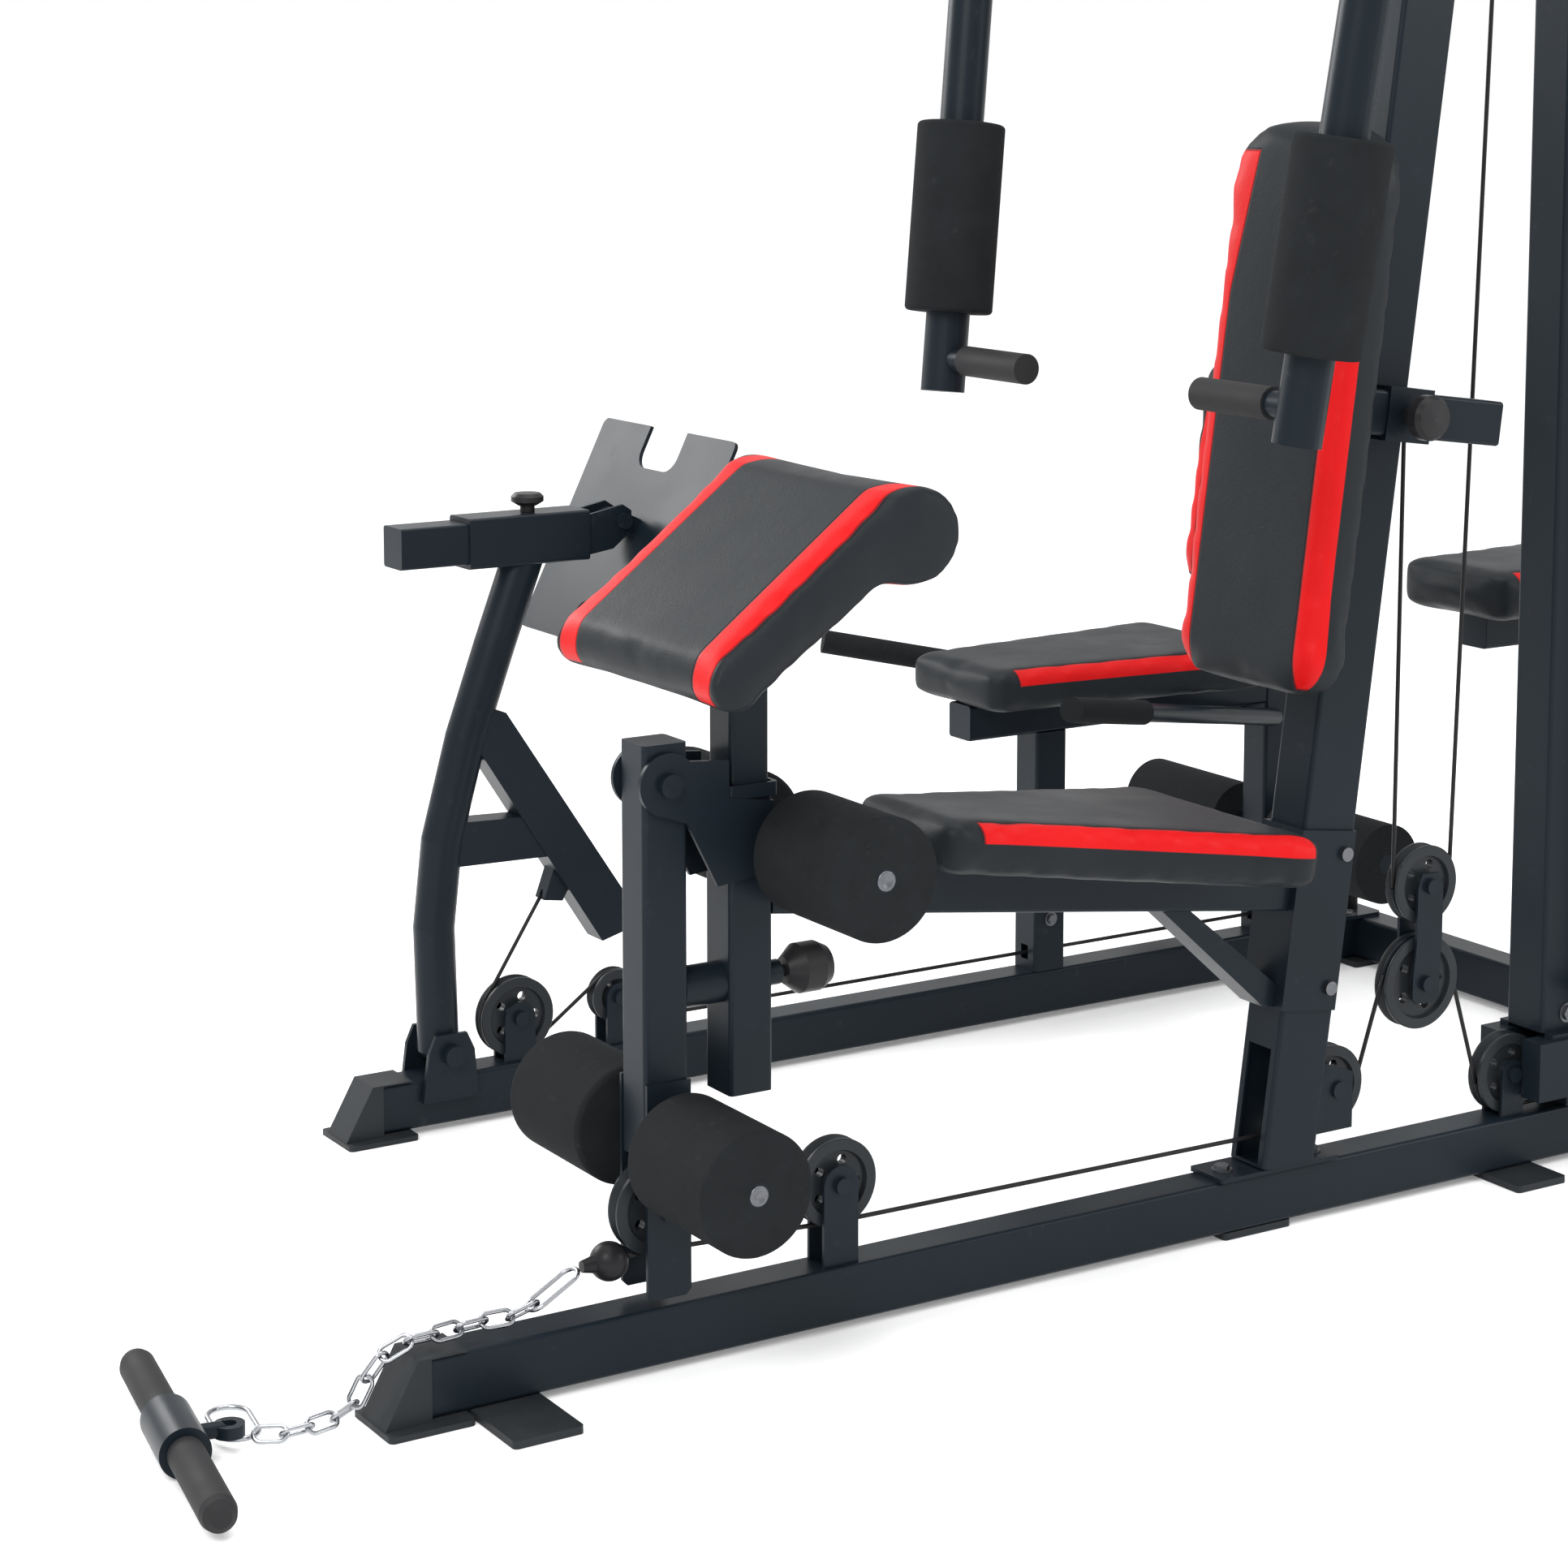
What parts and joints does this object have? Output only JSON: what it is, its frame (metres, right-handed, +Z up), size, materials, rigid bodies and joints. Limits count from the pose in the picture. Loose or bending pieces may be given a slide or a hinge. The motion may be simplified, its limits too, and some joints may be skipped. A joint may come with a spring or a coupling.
{
  "type": "multi station home gym",
  "caption": "Multi station home gym with leaning upright, press arms, preacher pad, leg developer, leg press, rear seats and enclosed weight stack.",
  "frame": {"origin": "on the floor under the front face of the main upright, on the main station's centre plane", "axes": "+X to the rear along the rails, +Y to the leg press side, +Z up"},
  "size_m": [2.6872, 1.6894, 2.1],
  "materials": {
    "frame_paint": "satin",
    "foot_plastic": "matte",
    "bright_steel": "polished",
    "stack_iron": "satin",
    "pad_vinyl": "satin",
    "foam": "matte",
    "knob_plastic": "satin",
    "pulley_nylon": "satin",
    "cable_coat": "satin"
  },
  "bodies": {
    "frame": {"main_rail": "frame_paint", "far_rail": "frame_paint", "cross_rails": "frame_paint", "rail_feet": "foot_plastic", "main_upright": "frame_paint", "seat_beam": "frame_paint", "front_post": "frame_paint", "top_beam": "frame_paint", "tower_frame": "frame_paint", "shrouds": "frame_paint", "guide_rods": "bright_steel", "stack_bumpers": "foam", "resting_stack": "stack_iron", "main_seat_pad": "pad_vinyl", "cable_runs": "cable_coat", "row_cable": "cable_coat", "hanging_cables": "cable_coat", "row_chain": "bright_steel", "row_swivel": "frame_paint", "second_seat_frame": "frame_paint", "second_pads": "pad_vinyl", "rear_seat_frame": "frame_paint", "rear_seat_pad": "pad_vinyl", "frame_bolts": "bright_steel"},
    "stack_carriage": {"lifted_stack": "stack_iron"},
    "stack_pin": {"selector_pin": "bright_steel"},
    "high_bar": {"lat_bar": "bright_steel"},
    "press_yoke": {"press_frame": "frame_paint"},
    "arm_near": {"near_arm": "frame_paint", "near_arm_foam": "foam"},
    "arm_far": {"far_arm": "frame_paint", "far_arm_foam": "foam"},
    "developer": {"leg_developer": "frame_paint", "ball_stop": "cable_coat"},
    "developer_rollers": {"lower_rollers": "foam"},
    "fixed_rollers": {"upper_rollers": "foam"},
    "developer_wheel": {"developer_pulley": "pulley_nylon"},
    "preacher": {"preacher_post": "frame_paint", "preacher_pad": "pad_vinyl"},
    "preacher_pull": {"preacher_knob": "knob_plastic"},
    "backrest": {"backrest_slide": "frame_paint", "backrest_pad": "pad_vinyl"},
    "backrest_pull": {"backrest_knob": "knob_plastic"},
    "float_block": {"floating_block": "frame_paint"},
    "float_upper": {"floating_upper_pulley": "pulley_nylon"},
    "float_lower": {"floating_lower_pulley": "pulley_nylon"},
    "lat_wheel": {"lat_pulley": "pulley_nylon"},
    "mid_wheel": {"mid_pulley": "pulley_nylon"},
    "tower_wheel": {"tower_pulley": "pulley_nylon"},
    "stack_wheel": {"stack_pulley": "pulley_nylon"},
    "front_wheel": {"front_rail_pulley": "pulley_nylon"},
    "upright_wheel": {"upright_pulley": "pulley_nylon"},
    "rear_wheel": {"rear_rail_pulley": "pulley_nylon"},
    "press_wheel": {"leg_press_pulley": "pulley_nylon"},
    "guide_wheel": {"guide_pulley": "pulley_nylon"},
    "press_lever": {"leg_press_arm": "frame_paint"},
    "press_slide": {"leg_press_slide": "frame_paint"},
    "press_plate": {"foot_plate": "frame_paint"},
    "press_pull": {"leg_press_knob": "knob_plastic"},
    "handle_spin": {"row_handle": "foam"}
  },
  "joints": [
    {"name": "stack_lift", "type": "slide", "parent": "frame", "child": "stack_carriage", "axis": [0, 0, 1], "range_m": [0, 0.5]},
    {"name": "pin_pull", "type": "slide", "parent": "stack_carriage", "child": "stack_pin", "axis": [0, -1, 0], "range_m": [0, 0.09]},
    {"name": "lat_pull", "type": "slide", "parent": "frame", "child": "high_bar", "axis": [0, 0, -1], "range_m": [0, 0.5], "deforming": ["hanging_cables"]},
    {"name": "press_swing", "type": "hinge", "parent": "frame", "child": "press_yoke", "pos_m": [0.12, 0, 1.88], "axis": [0, 1, 0], "range_deg": [0, 35]},
    {"name": "near_arm_fly", "type": "hinge", "parent": "press_yoke", "child": "arm_near", "pos_m": [0, -0.2, 1.88], "axis": [0, 0, -1], "range_deg": [0, 42]},
    {"name": "far_arm_fly", "type": "hinge", "parent": "press_yoke", "child": "arm_far", "pos_m": [0, 0.2, 1.88], "axis": [0, 0, 1], "range_deg": [0, 42]},
    {"name": "developer_swing", "type": "hinge", "parent": "frame", "child": "developer", "pos_m": [-0.761, 0, 0.601], "axis": [0, 1, 0], "range_deg": [0, 80], "deforming": ["row_cable", "row_chain"]},
    {"name": "developer_rollers_spin", "type": "hinge", "parent": "developer", "child": "developer_rollers", "pos_m": [-0.761, 0, 0.234], "axis": [0, 1, 0], "continuous": true},
    {"name": "fixed_rollers_spin", "type": "hinge", "parent": "frame", "child": "fixed_rollers", "pos_m": [-0.617, 0, 0.522], "axis": [0, 1, 0], "continuous": true},
    {"name": "developer_pulley_spin", "type": "hinge", "parent": "developer", "child": "developer_wheel", "pos_m": [-0.761, 0, 0.166], "axis": [0, 1, 0], "continuous": true},
    {"name": "preacher_height", "type": "slide", "parent": "frame", "child": "preacher", "axis": [0, 0, 1], "range_m": [0, 0.1]},
    {"name": "preacher_knob_pull", "type": "slide", "parent": "frame", "child": "preacher_pull", "axis": [1, 0, 0], "range_m": [0, 0.01], "stiffness_N_per_m": 900},
    {"name": "backrest_reach", "type": "slide", "parent": "frame", "child": "backrest", "axis": [-0.9914, 0, 0.1305], "range_m": [0, 0.08]},
    {"name": "backrest_knob_pull", "type": "slide", "parent": "frame", "child": "backrest_pull", "axis": [0, -1, 0], "range_m": [0, 0.01], "stiffness_N_per_m": 900},
    {"name": "block_travel", "type": "slide", "parent": "frame", "child": "float_block", "axis": [0, 0, -1], "range_m": [0, 0.11]},
    {"name": "floating_upper_spin", "type": "hinge", "parent": "float_block", "child": "float_upper", "pos_m": [0.253, 0, 0.363], "axis": [0, 1, 0], "continuous": true},
    {"name": "floating_lower_spin", "type": "hinge", "parent": "float_block", "child": "float_lower", "pos_m": [0.249, 0, 0.249], "axis": [0, 1, 0], "continuous": true},
    {"name": "lat_pulley_spin", "type": "hinge", "parent": "frame", "child": "lat_wheel", "pos_m": [-0.455, 0, 1.975], "axis": [0, 1, 0], "continuous": true},
    {"name": "mid_pulley_spin", "type": "hinge", "parent": "frame", "child": "mid_wheel", "pos_m": [0.17, 0, 1.975], "axis": [0, 1, 0], "continuous": true},
    {"name": "tower_pulley_spin", "type": "hinge", "parent": "frame", "child": "tower_wheel", "pos_m": [0.392, 0, 1.975], "axis": [0, 1, 0], "continuous": true},
    {"name": "stack_pulley_spin", "type": "hinge", "parent": "frame", "child": "stack_wheel", "pos_m": [0.6275, 0, 1.975], "axis": [0, 1, 0], "continuous": true},
    {"name": "front_pulley_spin", "type": "hinge", "parent": "frame", "child": "front_wheel", "pos_m": [-0.55, 0, 0.153], "axis": [0, 1, 0], "continuous": true},
    {"name": "upright_pulley_spin", "type": "hinge", "parent": "frame", "child": "upright_wheel", "pos_m": [0.114, 0, 0.147], "axis": [0, 1, 0], "continuous": true},
    {"name": "rear_pulley_spin", "type": "hinge", "parent": "frame", "child": "rear_wheel", "pos_m": [0.39, 0, 0.118], "axis": [0, 1, 0], "continuous": true},
    {"name": "press_pulley_spin", "type": "hinge", "parent": "frame", "child": "press_wheel", "pos_m": [-0.503, 0.81, 0.122], "axis": [0, 1, 0], "continuous": true},
    {"name": "guide_pulley_spin", "type": "hinge", "parent": "frame", "child": "guide_wheel", "pos_m": [-0.362, 0.81, 0.128], "axis": [0, 1, 0], "continuous": true},
    {"name": "leg_press_swing", "type": "hinge", "parent": "frame", "child": "press_lever", "pos_m": [-0.606, 0.81, 0.096], "axis": [0, -1, 0], "range_deg": [0, 24]},
    {"name": "leg_press_reach", "type": "slide", "parent": "press_lever", "child": "press_slide", "axis": [1, 0, 0], "range_m": [0, 0.08]},
    {"name": "foot_plate_tilt", "type": "hinge", "parent": "press_slide", "child": "press_plate", "pos_m": [-0.358, 0.81, 0.736], "axis": [0, 1, 0], "range_deg": [-12, 12]},
    {"name": "leg_press_knob_pull", "type": "slide", "parent": "press_lever", "child": "press_pull", "axis": [0, 0, 1], "range_m": [0, 0.008], "stiffness_N_per_m": 900},
    {"name": "row_handle_spin", "type": "hinge", "parent": "frame", "child": "handle_spin", "pos_m": [-1.263, 0.03, 0.025], "axis": [-0.1727, -0.985, 0], "continuous": true}
  ],
  "couplings": [
    {"joint": "stack_lift", "follows": "lat_pull", "ratio": 1},
    {"joint": "block_travel", "follows": "developer_swing", "m_per_rad": 0.07807}
  ]
}
